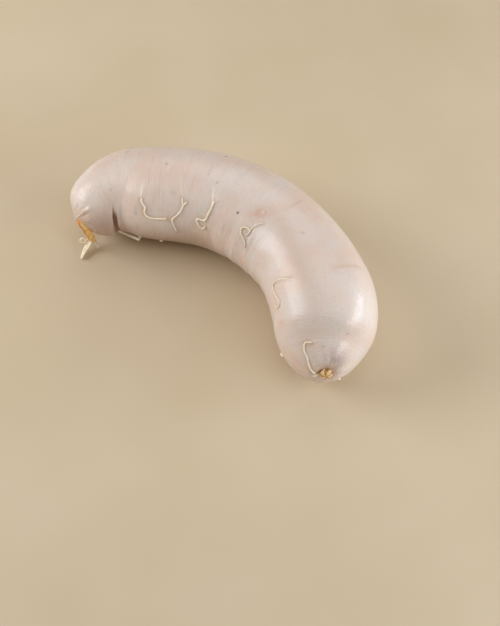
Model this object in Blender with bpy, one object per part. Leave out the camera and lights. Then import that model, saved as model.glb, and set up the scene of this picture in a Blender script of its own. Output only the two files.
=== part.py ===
"""A single white sausage in its natural casing, lying in one wide bend.

The dried, twisted tail of the casing hangs from one end. The other end is drawn in to a
small tied knot. Threads and stubs of gut, left from cleaning, cling to the skin.
"""
import math

import bmesh
import bpy
import numpy as np
from mathutils import Vector

MM = 0.001

# Driving dimensions in millimetres. A station is the distance along the centreline from
# the tailed end's tip. An angle goes round the body in degrees: 0 on top, 90 on the inner
# side of the bend, -90 on the outer side. Each section of the body stands square to the
# centreline's direction across SECTION_REACH on either side of it. A pair of numbers is
# where a soft rise from 0 to 1 starts and ends.
CENTRELINE = [  # x, y and height of the body's middle
    (-49.6, 20.2, 11.1),
    (-40.6, 26.3, 13.8),
    (-34.5, 30.3, 13.5),
    (-25.3, 28.8, 15.0),
    (-7.8, 26.3, 16.0),
    (11.5, 17.2, 16.3),
    (26.3, 2.5, 16.3),
    (33.2, -13.1, 16.5),
    (35.2, -24.7, 16.0),
    (34.4, -33.3, 14.1),
    (34.6, -44.8, 15.8),
]
BODY_RADIUS = [  # share of the length, radius there
    (0.0, 15.4),
    (0.085, 12.7),
    (0.155, 14.6),
    (0.24, 16.2),
    (0.42, 16.8),
    (0.70, 16.9),
    (0.83, 17.3),
    (1.0, 11.9),
]
CENTRELINE_SAMPLES = 2001
SECTION_REACH = 7.0
TAIL_DOME = 16.0
KNOT_DOME = 17.5
RELIEF_FADE = 2.0  # the relief fades where the domes' rounding falls below one over this

# The casing is nipped into one deep fold near the tail, steep towards the tail and gentle
# towards the middle. It bulges as a lobe before the fold, with a soft saddle above it.
FOLD_STATION = 10.0
FOLD_BOW = 2.5
FOLD_BOW_SPREAD = 45.0
FOLD_TURN = 72.0
FOLD_STARTS = (44.0, 74.0)
FOLD_ENDS = (125.0, 152.0)
FOLD_WIDENS = (55.0, 105.0)
FOLD_DEPTH = 2.3
FOLD_STEEP_WIDTH = 1.4
FOLD_GENTLE_WIDTH = 1.0
FOLD_WIDENING = 2.4
LIP_STATION = 15.0
LIP_WIDTH = 4.0
LIP_HEIGHT = 0.25
LOBE_STATION = 5.5
LOBE_LENGTH = 4.5
LOBE_ANGLE = 112.0
LOBE_SPREAD = 38.0
LOBE_HEIGHT = 0.9
SADDLE_STATION = 17.0
SADDLE_LENGTH = 8.0
SADDLE_ANGLE = 20.0
SADDLE_SPREAD = 42.0
SADDLE_HEIGHT = 1.1

# Inside the tight bend the skin is slack: there it follows a mean over these distances, and
# its shoulder is pushed back against the fold.
SLACK_SPAN = {-8.0: 1, -4.0: 2, 0.0: 3, 4.0: 2, 8.0: 1}
SLACK_STATION = 20.0
SLACK_LENGTH = 9.0
SLACK_STARTS = (-35.0, 25.0)
SLACK_ENDS = (125.0, 165.0)
SHOULDER_SHIFT = 2.6
SHOULDER_ANGLE = 92.0
SHOULDER_SPREAD = 38.0
SHOULDER_STARTS = (10.0, 15.0)
SHOULDER_ENDS = (24.0, 40.0)

# Gathers at both tips, shallow waves inside the bend, soft lumps, and the knot's dimple.
GATHERS = 12
GATHER_DRIFT = 1.3
GATHER_DRIFT_WAVES = 3
GATHER_DEPTH = 0.15
GATHER_LENGTH = 2.0
WAVE_STATION = 79.0
WAVE_REACH = 17.0
WAVE_ANGLE = 100.0
WAVE_SPREAD = 38.0
WAVE_PITCH = 7.5
WAVE_SLANT = 0.03
WAVE_HEIGHT = 0.15
LUMP_HEIGHT = 0.2
LUMP_DRIFTS = {2: 9.0, 3: -7.0}  # lumps around, the distance along which they turn
LUMP_REACH = 1 / 3  # share of the length
DIMPLE_DEPTH = 2.0
DIMPLE_RADIUS = 3.4
TAIL_CONE_HEIGHT = 1.2
TAIL_CONE_RADIUS = 2.5

# Mesh density of the body.
AROUND = 48
TAIL_RINGS = 20
MIDDLE_RINGS = 46
KNOT_RINGS = 14
KNOT_RING_EASING = 1.25

# Gut threads: half thickness, how far the middle stands off the skin, and the route.
THREAD_STEP = 1.0
THREAD_ROUNDING = 1
FEWEST_POINTS = 3
THREADS = {
    "hooked": (0.34, 0.15, [
        (31.4, 45), (31.7, 52), (32.7, 58), (32.4, 63), (33.1, 67), (35.0, 69), (38.4, 68),
    ]),
    "forked": (0.30, 0.12, [
        (46.0, 45), (44.6, 49.5), (43.3, 58), (42.0, 63), (40.4, 68), (40.5, 75), (41.8, 86),
    ]),
    "prong": (0.26, 0.1, [(43.7, 41), (44.0, 45), (44.5, 50)]),
    "curled": (0.36, 0.15, [
        (58.2, 36), (57.8, 45), (57.3, 56), (55.4, 62), (52.4, 63), (52.7, 68), (55.0, 72), (57.0, 69),
    ]),
    "loop": (0.30, 0.12, [
        (76.6, 51), (77.0, 47), (74.8, 45), (73.1, 50), (74.1, 56), (76.2, 59), (78.2, 66),
    ]),
    "loop_lead": (0.30, 0.1, [(79.2, 29), (77.9, 35), (77.0, 41), (77.0, 46)]),
    "faint": (0.26, 0.1, [
        (107.9, 38), (105.7, 49), (104.3, 58), (106.0, 64), (110.0, 63), (114.0, 60), (113.6, 70),
    ]),
    "knot_thread": (0.32, 0.12, [
        (131.6, 24), (131.1, 34), (132.8, 44), (134.6, 49), (136.0, 58), (137.1, 68),
    ]),
}
# A thicker strand that spans the fold: its points in millimetres, and its half thickness.
LOW_STRAND = [
    (-35.8, 19.4, 7.2),
    (-33.6, 18.7, 6.2),
    (-31.3, 17.1, 6.7),
    (-29.2, 16.1, 6.7),
    (-28.1, 15.3, 6.6),
]
LOW_STRAND_HALF = 0.58
LOW_STRAND_ROUNDING = 2
# The first and last points of a strand are thinned to this share.
STRAND_END = 0.55
# Short stubs where the gut was cut off its fat: station, angle, size.
STUBS = [
    (27.6, 119, 0.8),
    (35.0, 119, 0.65),
    (127.8, 104, 0.75),
    (137.3, 112, 0.6),
    (135.2, -138, 0.55),
]
STUB_LOBES = 3
STUB_STAND = 0.3
STUB_HEIGHT = 0.8

# The tail: points in millimetres, half width of the strip, and its turn in degrees.
TAIL_STRIP = [
    (-48.6, 18.6, 13.4, 0.9, 0),
    (-47.9, 16.9, 13.8, 1.1, 0),
    (-46.8, 16.0, 12.1, 1.2, 0),
    (-46.0, 15.9, 9.8, 1.2, 0),
    (-45.5, 15.9, 7.5, 1.1, 15),
    (-45.2, 16.2, 4.8, 1.0, 40),
    (-44.8, 16.2, 2.4, 0.8, 80),
]
TAIL_FLAP = [
    (-45.6, 16.5, 5.8, 0.8, -40),
    (-46.3, 16.2, 3.8, 1.0, -40),
    (-47.1, 15.1, 2.2, 1.1, -40),
    (-48.1, 13.5, 1.4, 0.9, -35),
    (-48.8, 11.6, 1.0, 0.6, -25),
    (-49.2, 10.4, 0.9, 0.4, -20),
]
TAIL_SCRAP = [
    (-45.0, 16.5, 3.2, 0.8, 20),
    (-43.9, 15.8, 1.8, 0.9, 20),
    (-43.3, 14.7, 1.2, 0.6, 10),
]
STRIP_STEP = 1.0
STRIP_THICKNESS = 0.45
STRIP_SIDES = 8
# The casing's edge has rolled into a little ring, whose first point leads to the strip.
CURL_CENTRE = (-48.5, 16.4, 3.6)
CURL_SIZE = (1.15, 0.3, 0.8)
CURL_SWEEP = (-20, 290)
CURL_POINTS = 13
CURL_LEAD = 0.5
CURL_HALF_THICKNESS = 0.34

KNOT_SIZE = (1.95, 1.3, 1.6)
KNOT_SUNK = 1.3
KNOT_DROP = 0.4
KNOT_LOBES = 5
BALL_SWELL = 0.12
BALL_SEGMENTS = 16
BALL_RINGS = 8

WELD_DISTANCE = 0.01
SHARP_ANGLE = 50.0

SKIN_COLOUR = (0.70, 0.55, 0.46, 1.0)
SKIN_ROUGHNESS = 0.38


def smooth_curve(knots, values):
    """A natural cubic spline through the values, as a function of the knots."""
    knots = np.asarray(knots, float)
    values = np.asarray(values, float).reshape(len(knots), -1)
    steps = np.diff(knots)
    matrix = np.eye(len(knots))
    right = np.zeros_like(values)
    for i in range(1, len(knots) - 1):
        matrix[i, i - 1] = steps[i - 1]
        matrix[i, i] = 2 * (steps[i - 1] + steps[i])
        matrix[i, i + 1] = steps[i]
        rise = (values[i + 1] - values[i]) / steps[i]
        right[i] = 6 * (rise - (values[i] - values[i - 1]) / steps[i - 1])
    bend = np.linalg.solve(matrix, right)

    def read(at):
        at = np.atleast_1d(np.asarray(at, float))
        i = np.clip(np.searchsorted(knots, at) - 1, 0, len(knots) - 2)
        before = (knots[i + 1] - at)[:, None]
        after = (at - knots[i])[:, None]
        step = steps[i][:, None]
        curve = (bend[i] * before**3 + bend[i + 1] * after**3) / (6 * step)
        start = (values[i] / step - bend[i] * step / 6) * before
        end = (values[i + 1] / step - bend[i + 1] * step / 6) * after
        return curve + start + end

    return read


class Centreline:
    """The bent middle line of the body, measured by its own length."""

    def __init__(self, points):
        points = np.array(points, float)
        chords = np.linalg.norm(np.diff(points, axis=0), axis=1)
        chord = np.r_[0, np.cumsum(chords)]
        self.line = smooth_curve(chord, points)(np.linspace(0, chord[-1], CENTRELINE_SAMPLES))
        steps = np.linalg.norm(np.diff(self.line, axis=0), axis=1)
        self.stations = np.r_[0, np.cumsum(steps)]
        self.length = self.stations[-1]

    def read(self, station):
        return np.stack([np.interp(station, self.stations, c) for c in self.line.T], -1)

    def frame(self, station):
        """The middle, direction, inner side and upward side at each station."""
        middle = self.read(station)
        ahead = np.minimum(station + SECTION_REACH, self.length)
        behind = np.maximum(station - SECTION_REACH, 0)
        along = self.read(ahead) - self.read(behind)
        along /= np.linalg.norm(along, axis=-1, keepdims=True)
        side = np.cross(along, [0.0, 0.0, 1.0])
        side /= np.linalg.norm(side, axis=-1, keepdims=True)
        return middle, along, side, np.cross(side, along)


def turn(angle, centre):
    return (angle - centre + 180) % 360 - 180


def bell(x, width):
    return np.exp(-((x / width) ** 2))


def ramp(x, low, high):
    """0 up to low, 1 from high on, and a smooth rise between."""
    share = np.clip((x - low) / (high - low), 0, 1)
    return share * share * (3 - 2 * share)


def fold_relief(station, angle):
    """The nip of the fold and the soft lip past it."""
    bow = FOLD_BOW * (turn(angle, FOLD_TURN) / FOLD_BOW_SPREAD) ** 2
    nip = station - FOLD_STATION - bow
    reach = ramp(angle, *FOLD_STARTS) * (1 - ramp(angle, *FOLD_ENDS))
    gentle_width = FOLD_GENTLE_WIDTH + FOLD_WIDENING * ramp(angle, *FOLD_WIDENS)
    steep = bell(np.minimum(nip, 0), FOLD_STEEP_WIDTH)
    gentle = bell(np.maximum(nip, 0), gentle_width)
    lip = LIP_HEIGHT * bell(station - bow - LIP_STATION, LIP_WIDTH)
    return reach * (lip - FOLD_DEPTH * steep * gentle)


def relief(station, angle, length):
    """How far the skin stands out from the plain round form."""
    out = fold_relief(station, angle)
    lobe = bell(station - LOBE_STATION, LOBE_LENGTH) * bell(turn(angle, LOBE_ANGLE), LOBE_SPREAD)
    out += LOBE_HEIGHT * lobe
    saddle = bell(station - SADDLE_STATION, SADDLE_LENGTH)
    out += SADDLE_HEIGHT * saddle * bell(turn(angle, SADDLE_ANGLE), SADDLE_SPREAD)
    drift = GATHER_DRIFT * np.sin(np.radians(GATHER_DRIFT_WAVES * angle))
    gathers = np.cos(np.radians(GATHERS * angle) + drift)
    at_tail = bell(station - GATHER_LENGTH, GATHER_LENGTH)
    at_knot = bell(length - station - GATHER_LENGTH, GATHER_LENGTH)
    out += GATHER_DEPTH * gathers * (at_tail + at_knot)
    wave = np.cos(2 * math.pi * (station + WAVE_SLANT * angle) / WAVE_PITCH)
    inside = bell(turn(angle, WAVE_ANGLE), WAVE_SPREAD) * bell(station - WAVE_STATION, WAVE_REACH)
    out += WAVE_HEIGHT * wave * inside
    lumps = sum(np.cos(np.radians(n * angle) + station / d) for n, d in LUMP_DRIFTS.items())
    return out + LUMP_HEIGHT * lumps * bell(station - length / 2, length * LUMP_REACH)


def dome_share(station, length):
    """The rounding of the two end domes at a station."""
    from_tail = np.clip(1 - station / TAIL_DOME, 0, 1)
    from_knot = np.clip(1 - (length - station) / KNOT_DOME, 0, 1)
    return np.sqrt(1 - from_tail**2) * np.sqrt(1 - from_knot**2)


def ring_points(station, share, angle, centreline, stand):
    """Points on the round rings at the stations, each ring's direction, and its radius.

    Share is the rounding of the domes, 0 at a tip and 1 past them, and stand is how far the
    points stand off the plain round form.
    """
    radius = smooth_curve(*zip(*BODY_RADIUS))(station / centreline.length)[:, 0] * share + stand
    middle, along, side, up = centreline.frame(station)
    turned = np.radians(angle)[:, None]
    points = middle + radius[:, None] * (np.cos(turned) * up + np.sin(turned) * side)
    return points, along, radius


def skin(station, share, angle, centreline, lift=0.0):
    """Points on the skin, lifted off it by so much."""
    length = centreline.length
    stand = relief(station, angle, length) * np.minimum(1, RELIEF_FADE * share) + lift
    points, along, radius = ring_points(station, share, angle, centreline, stand)
    relaxed = np.zeros_like(points)
    for shift, weight in SLACK_SPAN.items():
        beside = np.clip(station + shift, 0, length)
        rings = ring_points(beside, dome_share(beside, length), angle, centreline, stand)
        relaxed += rings[0] * weight / sum(SLACK_SPAN.values())
    slack = bell(station - SLACK_STATION, SLACK_LENGTH)
    slack *= ramp(angle, *SLACK_STARTS) * (1 - ramp(angle, *SLACK_ENDS))
    points += slack[:, None] * (relaxed - points)

    near_knot = (station > length - KNOT_DOME) * bell(radius, DIMPLE_RADIUS)
    near_tail = (station < TAIL_DOME) * bell(radius, TAIL_CONE_RADIUS)
    shoulder = bell(turn(angle, SHOULDER_ANGLE), SHOULDER_SPREAD)
    shoulder *= ramp(station, *SHOULDER_STARTS) * (1 - ramp(station, *SHOULDER_ENDS))
    back = DIMPLE_DEPTH * near_knot + TAIL_CONE_HEIGHT * near_tail + SHOULDER_SHIFT * shoulder
    points -= back[:, None] * along
    points[:, 2] = np.maximum(points[:, 2], 0)
    return points


def on_skin(route, centreline, lift):
    route = np.array(route, float)
    share = dome_share(route[:, 0], centreline.length)
    return skin(route[:, 0], share, route[:, 1], centreline, lift)


def ring_places(length):
    """Each ring's station and rounding, from the tail's tip to the knot's."""
    tail = np.linspace(0, math.pi / 2, TAIL_RINGS + 1)
    knot = math.pi / 2 * np.linspace(1, 0, KNOT_RINGS + 1) ** KNOT_RING_EASING
    middle = np.linspace(TAIL_DOME, length - KNOT_DOME, MIDDLE_RINGS + 1)[1:-1]
    tail_stations = TAIL_DOME * (1 - np.cos(tail))
    knot_stations = length - KNOT_DOME * (1 - np.cos(knot))
    stations = np.r_[tail_stations, middle, knot_stations]
    shares = np.r_[np.sin(tail), np.ones(len(middle)), np.sin(knot)]
    return stations, shares


def link(name, mesh, collection):
    obj = bpy.data.objects.new(name, mesh)
    collection.objects.link(obj)
    return obj


def make_body(centreline, collection):
    """A sphere drawn out along the centreline."""
    stations, shares = ring_places(centreline.length)
    rings = len(stations) - 1
    shape = bmesh.new()
    bmesh.ops.create_uvsphere(shape, u_segments=AROUND, v_segments=rings, radius=1.0)
    ball = np.array([v.co for v in shape.verts])
    ring = np.rint(np.arccos(np.clip(ball[:, 2], -1, 1)) / math.pi * rings).astype(int)
    angle = np.degrees(np.arctan2(ball[:, 1], ball[:, 0]))
    points = skin(stations[ring], shares[ring], angle, centreline) * MM
    for vertex, point in zip(shape.verts, points):
        vertex.co = point
    bmesh.ops.recalc_face_normals(shape, faces=shape.faces)
    bmesh.ops.triangulate(shape, faces=shape.faces)
    mesh = bpy.data.meshes.new("sausage")
    shape.to_mesh(mesh)
    shape.free()
    return link("sausage", mesh, collection)


def even_route(route, step):
    """The route rounded into a smooth one, with a point about every step."""
    route = np.array(route, float)
    gaps = np.linalg.norm(np.diff(route[:, :3], axis=0), axis=1)
    along = np.r_[0, np.cumsum(gaps)]
    count = max(FEWEST_POINTS, round(along[-1] / step) + 1)
    return smooth_curve(along, route)(np.linspace(0, along[-1], count))


def curve_object(name, points, radii, turns, collection):
    curve = bpy.data.curves.new(name, "CURVE")
    curve.dimensions = "3D"
    curve.use_fill_caps = True
    spline = curve.splines.new("POLY")
    spline.points.add(len(points) - 1)
    for knot, point, radius, tilt in zip(spline.points, points, radii, turns):
        knot.co = (*(point * MM), 1.0)
        knot.radius = radius
        knot.tilt = math.radians(tilt)
    return link(name, curve, collection)


def to_closed_mesh(obj, collection):
    """The curve's skin as a mesh object of its own, with its caps welded on."""
    graph = bpy.context.evaluated_depsgraph_get()
    mesh = bpy.data.meshes.new_from_object(obj.evaluated_get(graph))
    shape = bmesh.new()
    shape.from_mesh(mesh)
    bmesh.ops.remove_doubles(shape, verts=shape.verts, dist=WELD_DISTANCE * MM)
    bmesh.ops.recalc_face_normals(shape, faces=shape.faces)
    shape.to_mesh(mesh)
    shape.free()
    name = obj.name
    placed = obj.matrix_world.copy()
    bpy.data.objects.remove(obj)
    piece = link(name, mesh, collection)
    piece.matrix_world = placed
    return piece


def tapered(count):
    """Radius factors that thin a strand over its first and last points."""
    radii = np.ones(count)
    radii[[0, -1]] = STRAND_END
    return radii


def make_thread(name, half, lift, route, centreline, collection):
    places = on_skin(route, centreline, lift)
    both = even_route(np.hstack([places, np.array(route, float)]), THREAD_STEP)
    points = on_skin(both[:, 3:], centreline, lift)
    obj = curve_object(name, points, tapered(len(points)), np.zeros(len(points)), collection)
    obj.data.bevel_depth = half * MM
    obj.data.bevel_resolution = THREAD_ROUNDING
    return to_closed_mesh(obj, collection)


def make_low_strand(collection):
    points = even_route(LOW_STRAND, THREAD_STEP)
    obj = curve_object("low_strand", points, tapered(len(points)), np.zeros(len(points)), collection)
    obj.data.bevel_depth = LOW_STRAND_HALF * MM
    obj.data.bevel_resolution = LOW_STRAND_ROUNDING
    return to_closed_mesh(obj, collection)


def make_strip(name, route, section, collection):
    """A flat, twisted strip of dried casing, drawn along its route."""
    route = even_route(route, STRIP_STEP)
    obj = curve_object(name, route[:, :3], route[:, 3], route[:, 4], collection)
    obj.data.bevel_mode = "OBJECT"
    obj.data.bevel_object = section
    return to_closed_mesh(obj, collection)


def strip_section(collection):
    """The strip's cross-section, for a half width of 1 mm."""
    curve = bpy.data.curves.new("strip_section", "CURVE")
    curve.dimensions = "2D"
    spline = curve.splines.new("POLY")
    spline.use_cyclic_u = True
    spline.points.add(STRIP_SIDES - 1)
    for i, knot in enumerate(spline.points):
        turned = 2 * math.pi * i / STRIP_SIDES
        knot.co = (math.cos(turned) * MM, math.sin(turned) * STRIP_THICKNESS * MM, 0.0, 1.0)
    obj = link("strip_section", curve, collection)
    obj.hide_render = True
    obj.display_type = "WIRE"
    return obj


def make_curl(collection):
    """The little ring that the casing's edge has rolled into."""
    turned = np.radians(np.linspace(*CURL_SWEEP, CURL_POINTS))
    ring = np.stack([np.cos(turned), np.sin(turned), np.sin(turned)], -1)
    points = np.array(CURL_CENTRE) + ring * CURL_SIZE
    points[0, 0] += CURL_LEAD
    obj = curve_object("curl", points, tapered(CURL_POINTS), np.zeros(CURL_POINTS), collection)
    obj.data.bevel_depth = CURL_HALF_THICKNESS * MM
    obj.data.bevel_resolution = THREAD_ROUNDING
    return to_closed_mesh(obj, collection)


def make_ball(name, centre, size, axes, lobes, collection):
    """A small lumpy ball; size is its half extent along each of the three axes."""
    shape = bmesh.new()
    bmesh.ops.create_uvsphere(shape, u_segments=BALL_SEGMENTS, v_segments=BALL_RINGS, radius=1.0)
    for vertex in shape.verts:
        turned = math.atan2(vertex.co.y, vertex.co.x)
        swell = 1 + BALL_SWELL * math.cos(lobes * turned) * math.hypot(vertex.co.x, vertex.co.y)
        x, y, z = (swell * c * s for c, s in zip(vertex.co, size))
        vertex.co = Vector((centre + x * axes[0] + y * axes[1] + z * axes[2]) * MM)
    bmesh.ops.recalc_face_normals(shape, faces=shape.faces)
    mesh = bpy.data.meshes.new(name)
    shape.to_mesh(mesh)
    shape.free()
    return link(name, mesh, collection)


def make_knot(centreline, collection):
    """The tied knot of casing, sunk in the end's dimple."""
    middle, along, side, up = centreline.frame(np.array([centreline.length]))
    centre = middle[0] - KNOT_SUNK * along[0] - KNOT_DROP * up[0]
    return make_ball("knot", centre, KNOT_SIZE, (side[0], up[0], along[0]), KNOT_LOBES, collection)


def make_stubs(centreline, collection):
    for i, (station, angle, size) in enumerate(STUBS):
        centre = on_skin([(station, angle)], centreline, STUB_STAND * size)[0]
        _, along, side, up = centreline.frame(np.array([station]))
        axes = (along[0], side[0], up[0])
        extent = (size, size, STUB_HEIGHT * size)
        make_ball(f"stub_{i}", centre, extent, axes, STUB_LOBES, collection)


def fuse(body, scraps):
    """Join everything in the scraps collection to the body, as one solid."""
    union = body.modifiers.new("fuse", "BOOLEAN")
    union.operation = "UNION"
    union.operand_type = "COLLECTION"
    union.collection = scraps
    union.solver = "EXACT"
    bpy.context.view_layer.update()
    graph = bpy.context.evaluated_depsgraph_get()
    mesh = bpy.data.meshes.new_from_object(body.evaluated_get(graph))
    body.modifiers.remove(union)
    body.data = mesh
    for obj in list(scraps.objects):
        bpy.data.objects.remove(obj)
    bpy.data.collections.remove(scraps)


def skin_material():
    material = bpy.data.materials.new("sausage_skin")
    material.use_nodes = True
    shader = material.node_tree.nodes["Principled BSDF"]
    shader.inputs["Base Color"].default_value = SKIN_COLOUR
    shader.inputs["Roughness"].default_value = SKIN_ROUGHNESS
    shader.inputs["Metallic"].default_value = 0.0
    return material


def main():
    for obj in list(bpy.data.objects):
        bpy.data.objects.remove(obj)
    whole = bpy.data.collections.new("white_sausage")
    scraps = bpy.data.collections.new("casing_scraps")
    guides = bpy.data.collections.new("guides")
    for collection in (whole, scraps, guides):
        bpy.context.scene.collection.children.link(collection)

    centreline = Centreline(CENTRELINE)
    body = make_body(centreline, whole)
    for name, (half, lift, route) in THREADS.items():
        make_thread(name, half, lift, route, centreline, scraps)
    make_low_strand(scraps)
    section = strip_section(guides)
    make_strip("tail_strip", TAIL_STRIP, section, scraps)
    make_strip("tail_flap", TAIL_FLAP, section, scraps)
    make_strip("tail_scrap", TAIL_SCRAP, section, scraps)
    make_curl(scraps)
    make_knot(centreline, scraps)
    make_stubs(centreline, scraps)
    fuse(body, scraps)
    body.data.materials.clear()
    body.data.materials.append(skin_material())
    body.data.shade_smooth()
    body.data.set_sharp_from_angle(angle=math.radians(SHARP_ANGLE))


main()
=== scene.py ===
"""A plump white sausage in its natural casing, lying in one wide bend on a pale floor.

Places on the skin are given as a station, the distance along the body's centreline from
the tailed end, and an angle round the body: 0 on top, 90 on the inner side of the bend and
-90 on the outer side. Lengths are in millimetres and angles in degrees; what a geometry
tree makes is scaled to metres as its last step.
"""
import math

import bmesh
import bpy
import numpy as np
from mathutils import Matrix, Vector


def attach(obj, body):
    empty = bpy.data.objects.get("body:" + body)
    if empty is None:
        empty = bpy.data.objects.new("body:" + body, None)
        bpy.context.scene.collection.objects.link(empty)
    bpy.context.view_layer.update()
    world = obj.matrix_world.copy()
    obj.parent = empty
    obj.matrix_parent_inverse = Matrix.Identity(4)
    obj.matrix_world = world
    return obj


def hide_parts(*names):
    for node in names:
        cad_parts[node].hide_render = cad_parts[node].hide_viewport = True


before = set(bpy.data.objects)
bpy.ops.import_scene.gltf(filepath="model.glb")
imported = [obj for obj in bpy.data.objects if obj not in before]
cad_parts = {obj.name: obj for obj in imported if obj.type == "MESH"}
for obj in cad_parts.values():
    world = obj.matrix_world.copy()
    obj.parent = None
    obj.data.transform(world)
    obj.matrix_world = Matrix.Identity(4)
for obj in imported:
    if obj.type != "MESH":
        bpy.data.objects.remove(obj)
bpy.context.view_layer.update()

MM = 0.001

# The camera looks down on the sausage, and its long side takes in VIEW_HEIGHT.
VIEW_TARGET = (10.7, -11.7, 0.0)
VIEW_ELEVATION = 58.0
VIEW_HEIGHT = 215.1
LENS = 60.0
SENSOR = 36.0

# The body's centreline (x, y and height), and its radius against the share of its length.
CENTRELINE = [
    (-49.6, 20.2, 11.1), (-40.6, 26.3, 13.8), (-34.5, 30.3, 13.5), (-25.3, 28.8, 15.0),
    (-7.8, 26.3, 16.0), (11.5, 17.2, 16.3), (26.3, 2.5, 16.3), (33.2, -13.1, 16.5),
    (35.2, -24.7, 16.0), (34.4, -33.3, 14.1), (34.6, -44.8, 15.8),
]
BODY_RADIUS = [
    (0.0, 15.4), (0.085, 12.7), (0.155, 14.6), (0.24, 16.2),
    (0.42, 16.8), (0.70, 16.9), (0.83, 17.3), (1.0, 11.9),
]
CENTRELINE_SAMPLES = 2001
TAIL_DOME = 16.0
KNOT_DOME = 17.5

# The sizes of the skin's main forms, as the named inputs of the tree that places the skin.
SKIN_SIZES = {
    "Section reach": 7.0,
    "Fold station": 8.9,
    "Fold bow": 1.7,
    "Fold depth": 1.5,
    "Fold width": 0.75,
    "Fold run-out": 4.8,
    "Lip height": 0.25,
    "Lip width": 4.0,
    "Lobe station": 5.5,
    "Lobe length": 4.5,
    "Lobe height": 0.9,
    "Saddle station": 17.0,
    "Saddle length": 8.0,
    "Saddle height": 1.1,
    "Tip pleat depth": 0.8,
    "Gathers": 12.0,
    "Gather depth": 0.1,
    "Gather length": 2.0,
    "Wave station": 79.0,
    "Wave pitch": 7.5,
    "Wave height": 0.15,
    "Lump height": 0.2,
    "Dimple depth": 2.0,
    "Dimple radius": 3.4,
    "Tail cone height": 1.2,
    "Tail cone radius": 2.5,
    "Slack station": 20.0,
    "Slack length": 9.0,
    "Shoulder shift": 2.6,
}
# The angles where the fold starts, is full, widens, fades and ends. It lies nearest to the
# tail at FOLD_TURN, and FOLD_BOW_ANGLE round from there it is its whole bow further on.
FOLD_START = 44.0
FOLD_FULL = 74.0
FOLD_WIDENS = (55.0, 108.0)
FOLD_FADE = 125.0
FOLD_END = 152.0
FOLD_TURN = 102.0
FOLD_BOW_ANGLE = 45.0
# Round the body, the other forms stand at an angle and fade over a spread.
LOBE_SIDE = (112.0, 38.0)
SADDLE_SIDE = (20.0, 42.0)
WAVE_SIDE = (100.0, 38.0)
SHOULDER_SIDE = (88.0, 36.0)
BEND_SIDE = (88.0, 40.0)
# Pleats beside the tail: station, length, angle, spread, and the share of the pleats' depth.
TIP_PLEATS = [
    (2.6, 1.0, 38.0, 4.0, -0.35), (4.3, 0.9, 33.0, 3.8, 0.7), (3.2, 1.6, 23.5, 3.5, -0.26),
    (2.0, 1.4, 66.0, 7.0, -0.5), (2.0, 1.4, 92.0, 7.0, -0.4),
]
GATHER_SWAY = 1.3
WAVE_REACH = 17.0
WAVE_SLANT = 0.03
# The lumps wind on by one radian in these lengths.
TWOFOLD_PITCH = 9.0
THREEFOLD_PITCH = 7.0
# Inside the tight bend the skin is slack: there it follows a mean over these distances.
SLACK_SPAN = {-8.0: 1, -4.0: 2, 0.0: 3, 4.0: 2, 8.0: 1}
SLACK_FROM = (-35.0, 25.0)
SLACK_TO = (125.0, 165.0)
SHOULDER_RISES = (10.0, 15.0)
SHOULDER_FADES = (24.0, 40.0)
# Wrinkles lie across the inside of the bend, and past it the skin is stretched smooth.
BEND_STATION = 76.0
BEND_REACH = 24.0
STRETCHED_SMOOTH = (66.0, 88.0)
# Pleats gather where an end dome has the first share of its width, and fade over the second.
KNOT_PLEATS = (0.28, 0.24)
TAIL_PLEATS = (0.2, 0.22)

# On the flat map of the skin, one degree round the body is this long.
DEGREE_ON_MAP = 0.293

# Gut threads: half thickness, how far the middle stands off the skin, and the route.
THREADS = {
    "hooked_thread": (0.32, 0.14, [
        (31.4, 45), (31.6, 50), (32.6, 56), (32.5, 61), (32.9, 66), (34.3, 69), (36.6, 68.5), (38.4, 68),
    ]),
    "forked_thread": (0.28, 0.12, [
        (46.0, 45), (45.4, 47), (44.6, 49.5), (44.1, 53), (43.3, 58), (42.0, 63), (40.6, 67), (40.2, 70.5),
        (40.7, 76), (41.8, 86),
    ]),
    "forked_prong": (0.24, 0.1, [(43.7, 41), (43.9, 43.5), (44.1, 46.5), (44.5, 50)]),
    "curled_thread": (0.34, 0.14, [
        (58.0, 36), (57.9, 44), (57.3, 52), (56.6, 60), (55.1, 62), (53.2, 62), (52.0, 64), (53.0, 69),
        (54.6, 72), (56.3, 72), (57.0, 68),
    ]),
    "looped_thread": (0.29, 0.12, [
        (76.8, 49), (76.9, 46.5), (75.5, 45), (73.9, 46.5), (73.1, 50), (73.6, 54), (75.3, 57.5),
        (77.2, 61), (78.2, 66),
    ]),
    "looped_lead": (0.22, 0.02, [(79.6, 29), (78.2, 34), (77.2, 40), (76.8, 45), (76.6, 51), (75.7, 54)]),
    "faint_thread": (0.26, 0.06, [
        (107.9, 38), (106.4, 45), (105.0, 52), (104.3, 58), (105.0, 62.5), (107.4, 64), (110.4, 63),
        (113.2, 60), (114.9, 62), (114.6, 67), (112.6, 71),
    ]),
    "tail_fibre": (0.2, 0.02, [(0.3, 24), (0.8, 27), (1.5, 29), (2.3, 30), (3.0, 31)]),
    "knot_thread": (0.28, 0.1, [
        (131.6, 24), (131.3, 30), (131.1, 34), (131.5, 38.5), (132.8, 44), (134.6, 49), (135.8, 60),
        (136.7, 78), (137.4, 98),
    ]),
}

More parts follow.
